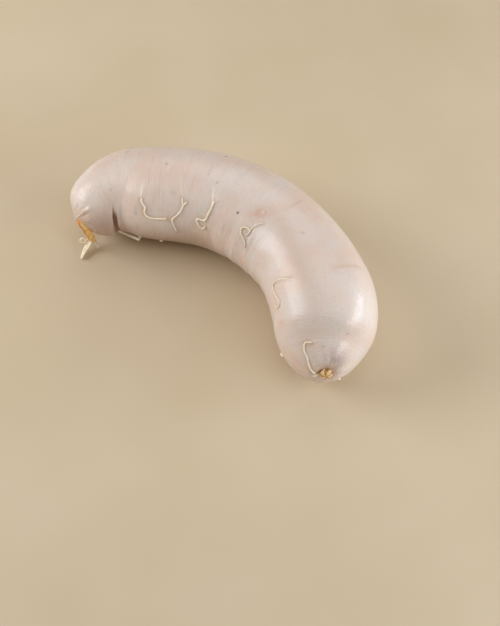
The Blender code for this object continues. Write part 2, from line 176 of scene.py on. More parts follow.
# Veins stand up under the casing and creases sink in. The third number is how far the line
# is lifted off the skin's flat map, so that it fades out there.
VEINS = [
    [(31.1, 12, 0.8), (31.6, 30, 0.3), (31.4, 44, 0.0)],
    [(41.4, 6, 0.8), (42.0, 18, 0.4), (42.8, 28, 0.1), (43.9, 39, 0.0)],
    [(52.6, 0, 0.9), (55.6, 18, 0.4), (57.4, 32, 0.0), (57.9, 40, 0.0)],
    [(60.8, 29, 0.6), (59.2, 33, 0.1), (57.9, 39, 0.0)],
    [(81.5, 22, 0.8), (79.8, 27, 0.2), (77.5, 36, 0.0)],
    [(109.5, 30, 0.8), (107.9, 38, 0.0), (105.1, 52, 0.0), (104.3, 58, 0.0)],
    [(131.5, 8, 0.8), (131.5, 18, 0.2), (131.3, 24, 0.0)],
    [(0.5, 26, 0.0), (1.6, 29, 0.0), (3.0, 29.5, 0.0), (4.6, 30, 0.3), (5.8, 32, 0.8)],
]
CREASES = [
    [(109.0, 0, 0.9), (108.5, -20, 0.2), (107.9, -38, 0.1), (108.2, -56, 0.9)],
    [(80.9, 8, 0.9), (81.9, -6, 0.4), (81.7, -20, 0.2), (81.1, -42, 0.9)],
    [(3.7, 36, 0.5), (2.9, 38, 0.0), (1.8, 41, 0.5)],
]

# The tail's ribbons of dried casing: points in millimetres, half width, and turn in degrees.
TAIL_RIBBONS = {
    "tail_strip": [
        (-48.6, 18.6, 13.4, 0.9, 0), (-47.9, 16.9, 13.8, 1.2, 0), (-46.8, 16.0, 12.1, 1.3, 0),
        (-46.0, 15.9, 9.8, 1.35, 0), (-45.5, 15.9, 7.5, 1.3, 10), (-45.2, 16.2, 4.8, 1.2, 20),
        (-44.8, 16.2, 2.4, 0.9, 30),
    ],
    "tail_flap": [
        (-45.4, 16.7, 6.2, 1.1, -25), (-46.2, 16.3, 3.8, 1.35, -15), (-47.1, 15.1, 2.2, 1.3, -10),
        (-48.1, 13.5, 1.4, 1.05, -5), (-48.8, 11.6, 1.0, 0.8, 0), (-49.2, 10.4, 0.9, 0.5, 0),
    ],
    "tail_scrap": [
        (-45.0, 16.5, 3.2, 0.8, 20), (-43.9, 15.8, 1.8, 0.8, 20), (-43.3, 14.7, 1.2, 0.5, 10),
    ],
}
# The curl under the strip is an open ring: its half sizes along x, y and z, and its turn.
CURL_CENTRE = (-48.5, 16.4, 3.6)
CURL_SIZE = (0.95, 0.3, 0.8)
CURL_TURN = (-14, 342)
CURL_POINTS = 17
CURL_LOOSE_END = 0.4
CURL_HALF = 0.4
CURL_SEED = 40.0

# A strand of gut that stands off the skin, low on the front: its points and half thickness.
LOW_STRAND = [
    (-36.0, 18.2, 7.4), (-33.6, 17.5, 6.6), (-31.3, 16.1, 6.8), (-29.2, 15.0, 6.8), (-28.0, 14.4, 6.8),
]
STRAND_HALF = 0.55
STRAND_SEED = 20.0

# Stubs where the gut was cut off its fat: station, angle and size. Reach, half thickness and
# lift are shares of the size, and the bow is in degrees.
STUBS = [(27.6, 119, 0.8), (35.0, 119, 0.65), (127.8, 104, 0.75), (137.3, 112, 0.6), (135.2, -138, 0.55)]
STUB_REACH = 0.8
STUB_HALF = 0.62
STUB_LIFT = 0.25
STUB_BOW = 1.5
STUB_SEED = 30.0

# How far the nub is sunk into the tip, and how far below the centreline it sits.
KNOT_SUNK = 1.2
KNOT_DROP = 0.4

# Marks under the casing: station, angle, size and strength.
SPECKS = [
    (68.6, 36, 0.42, 1.0), (53.5, -32, 0.42, 0.8), (22.8, -26, 0.6, 0.3), (37.1, 0, 0.42, 0.45),
    (13.5, 28, 0.45, 0.3), (30.3, 65, 0.6, 0.2), (40.5, 36, 0.8, 0.12), (93.1, 4, 0.6, 0.2),
    (56.1, 15, 0.5, 0.25), (51.9, 8, 0.45, 0.2), (128.0, -30, 0.5, 0.25), (133.1, 6, 0.5, 0.2),
]
BLOTCHES = [
    (75.8, 22, 2.2, 0.6), (74.0, 28, 2.0, 0.45), (77.8, 16, 2.2, 0.45), (76.2, 32, 1.8, 0.4),
    (110.0, -8, 2.0, 0.25), (121.8, 60, 1.6, 0.35), (115.6, 66, 1.2, 0.35), (93.0, 60, 3.0, 0.2),
]


def srgb(red, green, blue):
    """A colour given in the 0 to 255 of a colour picker, as the linear values of a shader."""
    shares = np.array([red, green, blue]) / 255
    linear = np.where(shares < 0.04045, shares / 12.92, ((shares + 0.055) / 1.055) ** 2.4)
    return (*linear.tolist(), 1.0)


CASING_PALE = srgb(236, 223, 214)
CASING_CREAM = srgb(236, 212, 197)
CASING_PINK = srgb(229, 201, 185)
CASING_GREY = srgb(192, 168, 157)
# Colour of the blotches and freckles, also used for painted shade in the wrinkles' troughs.
BLOTCH_AND_SHADE_COLOUR = srgb(226, 174, 142)
SPECK_COLOUR = srgb(104, 64, 62)
VEIN_COLOUR = srgb(244, 230, 212)
# Colours of painted shade and shadow: beside the threads and in the creases, beside the knot, round the
# knot's seat, in the fold and low down.
THREAD_SHADE = srgb(206, 156, 108)
KNOT_SHADE = srgb(148, 130, 128)
KNOT_SEAT_SHADE = srgb(176, 128, 88)
FOLD_SHADE = srgb(158, 108, 76)
GUT_WHITE = srgb(255, 250, 238)
GUT_CREAM = srgb(255, 236, 206)
# Dried casing: its pale patches, its amber ones and its edges.
TAIL_AMBER = (srgb(254, 222, 154), srgb(254, 198, 104), srgb(230, 138, 32))
TAIL_PALE = (srgb(255, 246, 228), srgb(250, 232, 198), srgb(242, 214, 168))
KNOT_AMBER = (srgb(248, 226, 176), srgb(230, 188, 116), srgb(190, 128, 66))

# The setting, in metres: a plain floor, the room's own light and four softboxes.
FLOOR_HALF = 2.0
FLOOR_LIGHT = srgb(221, 202, 172)
FLOOR_DARK = srgb(216, 196, 164)
ROOM_COLOUR = srgb(229, 213, 189)
ROOM_STRENGTH = 0.2
# Softboxes: azimuth, elevation, distance, width and height, power in watts, and colour.
SOFTBOXES = {
    "left_softbox": (-83, 27, 0.55, (0.34, 0.32), 2.08, (0.94, 0.975, 1.03)),
    "right_softbox": (104, 20, 0.55, (0.70, 0.14), 2.75, (0.87, 0.95, 1.04)),
    "back_softbox": (5, 55, 0.7, (0.6, 0.4), 0.85, (1.0, 0.97, 0.94)),
    "overhead_softbox": (155, 76, 0.7, (0.6, 0.5), 0.6, (1.0, 0.97, 0.93)),
}


def smooth_curve(knots, values):
    """A natural cubic spline through the values, as a function of the knots."""
    knots = np.asarray(knots, float)
    values = np.asarray(values, float).reshape(len(knots), -1)
    steps = np.diff(knots)
    matrix = np.eye(len(knots))
    right = np.zeros_like(values)
    for i in range(1, len(knots) - 1):
        matrix[i, i - 1] = steps[i - 1]
        matrix[i, i] = 2 * (steps[i - 1] + steps[i])
        matrix[i, i + 1] = steps[i]
        rise = (values[i + 1] - values[i]) / steps[i]
        right[i] = 6 * (rise - (values[i] - values[i - 1]) / steps[i - 1])
    bend = np.linalg.solve(matrix, right)

    def read(at):
        at = np.atleast_1d(np.asarray(at, float))
        i = np.clip(np.searchsorted(knots, at) - 1, 0, len(knots) - 2)
        before = (knots[i + 1] - at)[:, None]
        after = (at - knots[i])[:, None]
        step = steps[i][:, None]
        curve = (bend[i] * before**3 + bend[i + 1] * after**3) / (6 * step)
        start = (values[i] / step - bend[i] * step / 6) * before
        end = (values[i + 1] / step - bend[i + 1] * step / 6) * after
        return curve + start + end

    return read


def centreline_points():
    """Close points along the centreline, and the station of each."""
    points = np.array(CENTRELINE, float)
    chord = np.r_[0, np.cumsum(np.linalg.norm(np.diff(points, axis=0), axis=1))]
    line = smooth_curve(chord, points)(np.linspace(0, chord[-1], CENTRELINE_SAMPLES))
    stations = np.r_[0, np.cumsum(np.linalg.norm(np.diff(line, axis=0), axis=1))]
    return line, stations


LINE, STATIONS = centreline_points()
LENGTH = float(STATIONS[-1])


def body_radius(station):
    return smooth_curve(*zip(*BODY_RADIUS))(np.asarray(station) / LENGTH)[:, 0]


def straight_place(station, angle):
    """Where a place on the skin would be if the centreline were straight."""
    from_tail = min(max(1 - station / TAIL_DOME, 0), 1)
    from_knot = min(max(1 - (LENGTH - station) / KNOT_DOME, 0), 1)
    share = math.sqrt(1 - from_tail**2) * math.sqrt(1 - from_knot**2)
    radius = body_radius([station])[0] * share
    turned = math.radians(angle)
    return (station, radius * math.cos(turned), radius * math.sin(turned))


def socket(sockets, key):
    """The socket of this name, or at this place, among those that the node shows."""
    shown = [s for s in sockets if s.enabled]
    return shown[key] if isinstance(key, int) else next(s for s in shown if s.name == key)


def feed(tree, end, value):
    """Give a socket a flow or a plain value."""
    if isinstance(value, Flow):
        tree.links.new(value.socket, end)
    else:
        end.default_value = value


def add_node(tree, kind, inputs=(), **settings):
    """A new node with its settings and its inputs, which are given by name or by place."""
    made = tree.nodes.new(kind)
    for name, value in settings.items():
        setattr(made, name, value)
    for key, value in dict(inputs).items():
        feed(tree, socket(made.inputs, key), value)
    return made


class Flow:
    """What runs through a link. Arithmetic on flows adds the nodes that work it out."""

    def __init__(self, tree, source):
        self.tree = tree
        self.socket = source

    def math(self, operation, *others):
        made = add_node(self.tree, "ShaderNodeMath", enumerate((self, *others)), operation=operation)
        return Flow(self.tree, made.outputs[0])

    def __add__(self, other):
        return self.math("ADD", other)

    def __sub__(self, other):
        return self.math("SUBTRACT", other)

    def __mul__(self, other):
        return self.math("MULTIPLY", other)

    def __truediv__(self, other):
        return self.math("DIVIDE", other)

    def __neg__(self):
        return self * -1.0

    def __radd__(self, other):
        return self + other

    def __rsub__(self, other):
        return -self + other

    def __rmul__(self, other):
        return self * other


def out(node, key=0):
    return Flow(node.id_data, socket(node.outputs, key))


def vector(operation, first, *others):
    """Vector arithmetic on flows."""
    inputs = enumerate((first, *others))
    return out(add_node(first.tree, "ShaderNodeVectorMath", inputs, operation=operation))


def combine(tree, x, y, z):
    return out(add_node(tree, "ShaderNodeCombineXYZ", enumerate((x, y, z))))


def split(flow):
    made = add_node(flow.tree, "ShaderNodeSeparateXYZ", {0: flow})
    return [out(made, i) for i in range(3)]


def cosine(degrees):
    return degrees.math("RADIANS").math("COSINE")


def sine(degrees):
    return degrees.math("RADIANS").math("SINE")


def bell(flow, width):
    """1 where the flow is 0, falling softly to 0 past the width."""
    ratio = flow / width
    return (-(ratio * ratio)).math("EXPONENT")


def turn(angle, centre):
    """How far an angle is turned from a centre, from -180 to 180."""
    return (angle - centre).math("WRAP", 180.0, -180.0)


def at_side(angle, centre, spread):
    """1 on one side of the body, falling softly to 0 past the spread."""
    return bell(turn(angle, centre), spread)


def clamp(flow, high=1.0):
    return flow.math("MAXIMUM", 0.0).math("MINIMUM", high)


def ramp(flow, low, high):
    """0 up to low, 1 from high on, and a smooth rise between."""
    inputs = enumerate((flow, low, high, 0.0, 1.0))
    return out(add_node(flow.tree, "ShaderNodeMapRange", inputs, interpolation_type="SMOOTHSTEP"))


def noise(place, size, stretch=(1.0, 1.0, 1.0), detail=2.0, seed=0.0):
    """Random ups and downs about 0, each about as wide as size times the stretch."""
    scaled = vector("MULTIPLY", place, tuple(1 / s for s in stretch))
    inputs = {"Vector": scaled, "W": seed, "Scale": 1 / size, "Detail": detail}
    made = add_node(place.tree, "ShaderNodeTexNoise", inputs, noise_dimensions="4D")
    return (out(made) - 0.5) * 2.0


def start_tree(name, inputs, outputs):
    """A geometry tree, and its inputs as flows. An input is given as a kind or as its usual value."""
    tree = bpy.data.node_groups.new(name, "GeometryNodeTree")
    for label, value in inputs.items():
        kind = value if isinstance(value, str) else type(value).__name__.capitalize()
        made = tree.interface.new_socket(label, in_out="INPUT", socket_type="NodeSocket" + kind)
        if not isinstance(value, str):
            made.default_value = value
    for label, kind in outputs.items():
        tree.interface.new_socket(label, in_out="OUTPUT", socket_type="NodeSocket" + kind)
    source = tree.nodes.new("NodeGroupInput")
    return tree, {label: out(source, label) for label in inputs}


def end_tree(tree, results):
    add_node(tree, "NodeGroupOutput", results)


def place_flow(tree):
    return out(tree.nodes.new("GeometryNodeInputPosition"))


def guide_geometry(guide):
    return out(add_node(guide.tree, "GeometryNodeObjectInfo", {"Object": guide}), "Geometry")


def move(geometry, place):
    return out(add_node(geometry.tree, "GeometryNodeSetPosition", {"Geometry": geometry, "Position": place}))


def keep_value(geometry, name, value, kind="FLOAT"):
    """Store a value on the geometry for the materials."""
    inputs = {"Geometry": geometry, "Name": name, "Value": value}
    return out(add_node(geometry.tree, "GeometryNodeStoreNamedAttribute", inputs, data_type=kind))


def nudge(geometry, offset):
    """Move every point by an offset of its own."""
    return move(geometry, vector("ADD", place_flow(geometry.tree), offset))


def outward(tree):
    return out(tree.nodes.new("GeometryNodeInputNormal"))


def curve_radius(tree):
    return out(tree.nodes.new("GeometryNodeInputRadius"))


def smooth_route(guide):
    """A guide's points, joined by a smooth curve."""
    inputs = {"Curve": guide_geometry(guide)}
    return out(add_node(guide.tree, "GeometryNodeCurveSplineType", inputs, spline_type="CATMULL_ROM"))


def with_steps(curve, step):
    """The curve with its points this far apart."""
    inputs = {"Curve": curve, "Length": step}
    return out(add_node(curve.tree, "GeometryNodeResampleCurve", inputs, mode="LENGTH"))


def round_ends(tree, reach, least):
    """The share of the full width at each point of a curve, its ends rounded off over a reach."""
    done = out(tree.nodes.new("GeometryNodeSplineParameter"), "Length")
    whole = out(tree.nodes.new("GeometryNodeSplineLength"), "Length")
    to_end = (done.math("MINIMUM", whole - done) / reach).math("MINIMUM", 1.0)
    return (1.0 - (1.0 - to_end) * (1.0 - to_end)).math("SQRT").math("MAXIMUM", least)


def unit_ring(tree, sides):
    return out(add_node(tree, "GeometryNodeCurvePrimitiveCircle", {"Resolution": sides, "Radius": 1.0}))


def sweep(route, ring, scale):
    """A closed tube along a route."""
    inputs = {"Curve": route, "Profile Curve": ring, "Scale": scale, "Fill Caps": True}
    return out(add_node(route.tree, "GeometryNodeCurveToMesh", inputs))


def finish_tree(tree, geometry, material):
    """Scale the mesh to metres, shade it smooth and give it its material."""
    metres = move(geometry, vector("SCALE", place_flow(tree), MM))
    smooth = out(add_node(tree, "GeometryNodeSetShadeSmooth", {"Geometry": metres}))
    real = out(add_node(tree, "GeometryNodeRealizeInstances", {"Geometry": smooth}))
    finished = add_node(tree, "GeometryNodeSetMaterial", {"Geometry": real, "Material": material})
    end_tree(tree, {"Mesh": out(finished)})


def above_floor(place):
    x, y, z = split(place)
    return combine(place.tree, x, y, z.math("MAXIMUM", 0.0))


def along_curve(curve, station, value=None):
    """The place, or else the given value, at a distance along a curve."""
    inputs = {"Curves": curve, "Length": station}
    if value is not None:
        inputs["Value"] = value
    made = add_node(curve.tree, "GeometryNodeSampleCurve", inputs, mode="LENGTH")
    return out(made, "Position" if value is None else "Value")


def fold_place(size, station, angle):
    """How far a place is past the fold's bottom, how full the fold is there, and its slopes."""
    bow = turn(angle, FOLD_TURN) / FOLD_BOW_ANGLE
    nip = station - size["Fold station"] - size["Fold bow"] * bow * bow
    reach = ramp(angle, FOLD_START, FOLD_FULL) * (1.0 - ramp(angle, FOLD_FADE, FOLD_END))
    widening = ramp(angle, *FOLD_WIDENS)
    steep = bell(nip.math("MINIMUM", 0.0), size["Fold width"] * (0.5 + 0.5 * widening))
    gentle = bell(nip.math("MAXIMUM", 0.0), size["Fold width"] * 0.5 + size["Fold run-out"] * widening)
    return nip, reach, steep * gentle


def lobe_relief(size, station, angle):
    """The lobe beside the tail, the saddle behind it and the pleats at the tail's root."""
    lobe_along = bell(station - size["Lobe station"], size["Lobe length"])
    relief = size["Lobe height"] * lobe_along * at_side(angle, *LOBE_SIDE)
    saddle = size["Saddle height"] * bell(station - size["Saddle station"], size["Saddle length"])
    relief = relief + saddle * at_side(angle, *SADDLE_SIDE)
    for at, length, side, spread, share in TIP_PLEATS:
        pleat = bell(station - at, length) * at_side(angle, side, spread)
        relief = relief + size["Tip pleat depth"] * share * pleat
    return relief


def gather_relief(size, station, angle):
    """Gathers of casing round both tips, unevenly spaced."""
    sway = GATHER_SWAY * sine(angle * 3.0)
    gathers = (size["Gathers"] * angle.math("RADIANS") + sway).math("COSINE")
    from_tail = bell(station - size["Gather length"], size["Gather length"])
    from_knot = bell(LENGTH - station - size["Gather length"], size["Gather length"])
    return size["Gather depth"] * gathers * (from_tail + from_knot)


def wave_relief(size, station, angle):
    """Waves across the inside of the bend."""
    wave = cosine((station + WAVE_SLANT * angle) / size["Wave pitch"] * 360.0)
    inside = at_side(angle, *WAVE_SIDE) * bell(station - size["Wave station"], WAVE_REACH)
    return size["Wave height"] * wave * inside


def lump_relief(size, station, angle):
    """Broad lumps that wind round the body, two and three to a turn."""
    twofold = ((angle * 2.0).math("RADIANS") + station / TWOFOLD_PITCH).math("COSINE")
    threefold = ((angle * 3.0).math("RADIANS") - station / THREEFOLD_PITCH).math("COSINE")
    return size["Lump height"] * (twofold + threefold) * bell(station - LENGTH / 2, LENGTH / 3)


def main_relief(size, station, angle):
    """How far the skin stands out from the plain round form: fold and lip, and the forms above."""
    nip, reach, slopes = fold_place(size, station, angle)
    fold = size["Fold depth"] * reach * slopes
    lip = size["Lip height"] * reach * bell(nip - size["Lip width"] - size["Fold width"], size["Lip width"])
    relief = lip - fold
    for form in (lobe_relief, gather_relief, wave_relief, lump_relief):
        relief = relief + form(size, station, angle)
    return relief


def dome_share(station):
    """The rounding of the two end domes: 0 at a tip and 1 past them."""
    from_tail = clamp(1.0 - station / TAIL_DOME)
    from_knot = clamp(1.0 - (LENGTH - station) / KNOT_DOME)
    return (1.0 - from_tail * from_tail).math("SQRT") * (1.0 - from_knot * from_knot).math("SQRT")


def ring_place_tree():
    """A place on the plain ring round the centreline at a station, and the ring's direction."""
    inputs = {"Centreline": "Object"} | dict.fromkeys(("Station", "Share", "Angle", "Stand"), "Float")
    inputs["Section reach"] = SKIN_SIZES["Section reach"]
    outputs = {"Place": "Vector", "Along": "Vector", "Plain radius": "Float", "Radius": "Float"}
    tree, size = start_tree("ring place", inputs, outputs)
    station, angle = size["Station"], size["Angle"]
    line = guide_geometry(size["Centreline"])
    middle = along_curve(line, station)
    ahead = along_curve(line, (station + size["Section reach"]).math("MINIMUM", LENGTH))
    behind = along_curve(line, (station - size["Section reach"]).math("MAXIMUM", 0.0))
    along = vector("NORMALIZE", vector("SUBTRACT", ahead, behind))
    side = vector("NORMALIZE", vector("CROSS_PRODUCT", along, (0.0, 0.0, 1.0)))
    up = vector("CROSS_PRODUCT", side, along)
    plain = along_curve(line, station, curve_radius(tree)) * size["Share"]
    radius = plain + size["Stand"]
    across = vector("SCALE", side, radius * sine(angle))
    upward = vector("SCALE", up, radius * cosine(angle))
    place = vector("ADD", middle, vector("ADD", across, upward))
    end_tree(tree, {"Place": place, "Along": along, "Plain radius": plain, "Radius": radius})
    return tree


def use_group(group, **inputs):
    """Add a group to the tree of its inputs, which are given with their first letter small."""
    tree = next(v.tree for v in inputs.values() if isinstance(v, Flow))
    made = add_node(tree, "GeometryNodeGroup", node_tree=group)
    for name, value in inputs.items():
        feed(tree, made.inputs[name.capitalize()], value)
    return made


def slack_place(rings, station, where):
    """The mean of the places before and after a station, for skin that is slack there."""
    places = []
    for shift, weight in SLACK_SPAN.items():
        near_by = clamp(station + shift, LENGTH)
        other = use_group(rings, station=near_by, share=dome_share(near_by), **where)
        places.append(vector("SCALE", out(other, "Place"), weight / sum(SLACK_SPAN.values())))
    mean = places[0]
    for place in places[1:]:
        mean = vector("ADD", mean, place)
    return mean


def skin_place_tree():
    """Where the skin is, at a station and an angle, lifted by so much."""
    inputs = {"Centreline": "Object"} | dict.fromkeys(("Station", "Share", "Angle", "Lift"), "Float")
    tree, size = start_tree("skin place", inputs | SKIN_SIZES, {"Place": "Vector", "Straight": "Vector"})
    station, share, angle = size["Station"], size["Share"], size["Angle"]
    # Close to a tip the relief shrinks with the dome, so that the skin closes in one point.
    rounding = (share * 2.0).math("MINIMUM", 1.0)
    stand = (main_relief(size, station, angle) + size["Lift"]) * rounding
    rings = ring_place_tree()
    where = {"centreline": size["Centreline"], "angle": angle, "stand": stand}
    own = use_group(rings, station=station, share=share, **where)
    slack = bell(station - size["Slack station"], size["Slack length"])
    slack = slack * ramp(angle, *SLACK_FROM) * (1.0 - ramp(angle, *SLACK_TO))
    to_slack = vector("SUBTRACT", slack_place(rings, station, where), out(own, "Place"))

    along, radius = out(own, "Along"), out(own, "Radius")
    at_knot = station.math("GREATER_THAN", LENGTH - KNOT_DOME) * bell(radius, size["Dimple radius"])
    at_tail = station.math("LESS_THAN", TAIL_DOME) * bell(radius, size["Tail cone radius"])
    shoulder = at_side(angle, *SHOULDER_SIDE) * ramp(station, *SHOULDER_RISES)
    shoulder = shoulder * (1.0 - ramp(station, *SHOULDER_FADES))
    back = size["Dimple depth"] * at_knot + size["Tail cone height"] * at_tail
    back = back + size["Shoulder shift"] * shoulder
    moved = vector("SUBTRACT", vector("SCALE", to_slack, slack), vector("SCALE", along, back))
    place = above_floor(vector("ADD", out(own, "Place"), moved))
    plain = out(own, "Plain radius")
    straight = combine(tree, station, plain * cosine(angle), plain * sine(angle))
    end_tree(tree, {"Place": place, "Straight": straight})
    return tree


def map_gap(guide, at):
    """How far a place on the flat map is from a guide's lines."""
    lines = out(add_node(guide.tree, "GeometryNodeCurveToMesh", {"Curve": guide_geometry(guide)}))
    inputs = {"Geometry": lines, "Sample Position": at}
    return out(add_node(guide.tree, "GeometryNodeProximity", inputs, target_element="EDGES"), "Distance")


def rolled_grid(tree, size):
    """A flat grid, and the station, the dome's share and the angle of each of its points."""
    rings = size["Tail rings"] + size["Middle rings"] + size["Knot rings"]
    counts = (1.0, 1.0, rings + 1.0, size["Around"] + 1.0)
    grid = out(add_node(tree, "GeometryNodeMeshGrid", enumerate(counts)))
    x, y, _ = split(place_flow(tree))
    ring = (x + 0.5) * rings
    quarter = math.pi / 2
    tail_turn = (ring / size["Tail rings"]).math("MINIMUM", 1.0) * quarter
    knot_turn = ((rings - ring) / size["Knot rings"]).math("MINIMUM", 1.0) * quarter
    between = clamp((ring - size["Tail rings"]) / size["Middle rings"])
    tail_part = TAIL_DOME * (1.0 - tail_turn.math("COSINE"))
    middle_part = (LENGTH - TAIL_DOME - KNOT_DOME) * between
    station = tail_part + middle_part + KNOT_DOME * knot_turn.math("COSINE")
    return grid, station, tail_turn.math("SINE") * knot_turn.math("SINE"), y * 360.0


def casing_tree(group):
    """The whole skin: a grid rolled round the centreline, with its wrinkles, pleats and veins."""
    inputs = {
        "Centreline": "Object",
        "Veins": "Object",
        "Creases": "Object",
        "Threads": "Object",
        "Material": "Material",
        "Tail rings": 66,
        "Middle rings": 300,
        "Knot rings": 72,
        "Around": 218,
        "Weld distance": 0.002,
        "Wrinkle height": 0.04,
        "Bend wrinkle height": 0.28,
        "Pleat height": 0.22,
        "Vein height": 0.2,
        "Vein width": 0.42,
        "Crease depth": 0.14,
        "Crease width": 0.55,
        "Crease shade width": 0.6,
        "Lump height": 0.22,
        "Seed": 3.0,
    }
    tree, size = start_tree("casing", inputs, {"Mesh": "Geometry"})
    grid, station, share, angle = rolled_grid(tree, size)
    spot = {"centreline": size["Centreline"], "station": station, "share": share, "angle": angle}
    straight = out(use_group(group, **spot), "Straight")
    map_place = combine(tree, station, angle * DEGREE_ON_MAP, 0.0)
    crease_gap = map_gap(size["Creases"], map_place)
    vein = bell(map_gap(size["Veins"], map_place), size["Vein width"])
    wrinkled = 1.0 - 0.7 * ramp(station, *STRETCHED_SMOOTH)
    wrinkle = noise(straight, size=1.4, stretch=(1.0, 6.0, 6.0), seed=size["Seed"])
    bend = at_side(angle, *BEND_SIDE) * bell(station - BEND_STATION, BEND_REACH)
    bend_wrinkle = noise(straight, size=2.6, stretch=(1.0, 5.0, 5.0), detail=1.0, seed=size["Seed"] + 1.0)
    bend_wrinkle = bend_wrinkle * bend
    lump = noise(straight, size=9.0, detail=1.0, seed=size["Seed"] + 2.0)
    spoke = combine(tree, cosine(angle), sine(angle), share * 0.7)
    pleat = noise(spoke, size=0.12, seed=size["Seed"] + 3.0)
    at_knot = station.math("GREATER_THAN", LENGTH / 2) * bell(share - KNOT_PLEATS[0], KNOT_PLEATS[1])
    at_tail = station.math("LESS_THAN", LENGTH / 2) * bell(share - TAIL_PLEATS[0], TAIL_PLEATS[1])
    lift = size["Vein height"] * vein - size["Crease depth"] * bell(crease_gap, size["Crease width"])
    lift = lift + size["Wrinkle height"] * wrinkled * wrinkle
    lift = lift + size["Bend wrinkle height"] * bend_wrinkle
    lift = lift + size["Lump height"] * lump
    lift = lift + size["Pleat height"] * pleat * (at_knot + at_tail)

    _, reach, slopes = fold_place(SKIN_SIZES, station, angle)
    # Kept for the casing's material, which paints shade from the fold, the creases, the threads' gaps and
    # the wrinkles' troughs.
    shown = {
        "fold": reach * slopes,
        "bend_wrinkle": bend_wrinkle,
        "vein": vein,
        "crease": bell(crease_gap, size["Crease shade width"]),
        "thread_gap": map_gap(size["Threads"], map_place),
        "pleat": pleat * (at_knot + at_tail),
    }
    mesh = keep_value(grid, "straight", straight, "FLOAT_VECTOR")
    for name, value in shown.items():
        mesh = keep_value(mesh, name, value)
    mesh = move(mesh, out(use_group(group, lift=lift, **spot), "Place"))
    weld = {"Geometry": mesh, "Distance": size["Weld distance"]}
    mesh = out(add_node(tree, "GeometryNodeMergeByDistance", weld))
    mesh = out(add_node(tree, "GeometryNodeFlipFaces", {"Mesh": mesh}))
    finish_tree(tree, mesh, size["Material"])
    return tree


def thread_tree(group):
    """A thread of gut along a route, which is given on the skin's flat map or in space."""
    inputs = {
        "Centreline": "Object",
        "Route": "Object",
        "Material": "Material",
        "On the skin": True,
        "Route points": 160,
        "Step": 0.16,
        "Sides": 10,
        "End rounding": 1.6,
        "End width": 0.12,
        "Wobble": 0.07,
        "Unevenness": 0.35,
        "Grain depth": 0.04,
        "Seed": 0.0,
    }
    tree, size = start_tree("gut thread", inputs, {"Mesh": "Geometry"})
    route = {"Curve": smooth_route(size["Route"]), "Count": size["Route points"]}
    fine = out(add_node(tree, "GeometryNodeResampleCurve", route, mode="COUNT"))
    station, arc, lift = split(place_flow(tree))
    spot = {"centreline": size["Centreline"], "station": station, "share": dome_share(station)}
    on_skin = use_group(group, angle=arc / DEGREE_ON_MAP, lift=lift, **spot)
    choice = {"Switch": size["On the skin"], "False": place_flow(tree), "True": out(on_skin, "Place")}
    laid = move(fine, out(add_node(tree, "GeometryNodeSwitch", choice, input_type="VECTOR")))
    laid = with_steps(laid, size["Step"])

    place = place_flow(tree)
    radius = curve_radius(tree)
    rounded = round_ends(tree, radius * size["End rounding"], size["End width"])
    uneven = 1.0 + size["Unevenness"] * noise(place, size=1.1, seed=size["Seed"])
    drift = [noise(place, size=1.5, seed=size["Seed"] + shift) * size["Wobble"] for shift in (5.0, 9.0)]
    laid = nudge(laid, combine(tree, *drift, 0.0))
    mesh = sweep(laid, unit_ring(tree, size["Sides"]), radius * rounded * uneven)
    grain = noise(place, size=0.5, seed=size["Seed"] + 2.0) * size["Grain depth"]
    mesh = nudge(mesh, vector("SCALE", outward(tree), grain))
    finish_tree(tree, mesh, size["Material"])
    return tree


def ribbon_tree():
    """A thin fluted ribbon of dried casing along a route whose radius is its half width."""
    inputs = {
        "Route": "Object",
        "Material": "Material",
        "Step": 0.14,
        "Sides": 36,
        "End rounding": 0.5,
        "End width": 0.15,
        "Raggedness": 0.3,
        "Thickness": 0.13,
        "Flutes": 5.0,
        "Flute depth": 0.08,
        "Crinkle": 0.1,
        "Seed": 0.0,
    }
    tree, size = start_tree("dried ribbon", inputs, {"Mesh": "Geometry"})
    route = with_steps(smooth_route(size["Route"]), size["Step"])
    route = keep_value(route, "along", out(tree.nodes.new("GeometryNodeSplineParameter"), "Factor"))
    place = place_flow(tree)
    rounded = round_ends(tree, size["End rounding"], size["End width"])
    ragged = 1.0 + size["Raggedness"] * noise(place, size=1.4, seed=size["Seed"] + 1.0)
    x, y, _ = split(place)
    ring = keep_value(unit_ring(tree, size["Sides"]), "across", x)
    # The flutes are deepest along the ribbon's middle.
    flute = (x * size["Flutes"] + size["Seed"]).math("COSINE") * size["Flute depth"] * (1.2 - x * x)
    ring = move(ring, combine(tree, x, y * size["Thickness"] + flute, 0.0))
    mesh = sweep(route, ring, curve_radius(tree) * rounded * ragged)
    shifts = [noise(place, size=1.3, detail=3.0, seed=size["Seed"] + 3.0 * i) for i in range(3)]
    mesh = nudge(mesh, vector("SCALE", combine(tree, *shifts), size["Crinkle"]))
    finish_tree(tree, mesh, size["Material"])
    return tree


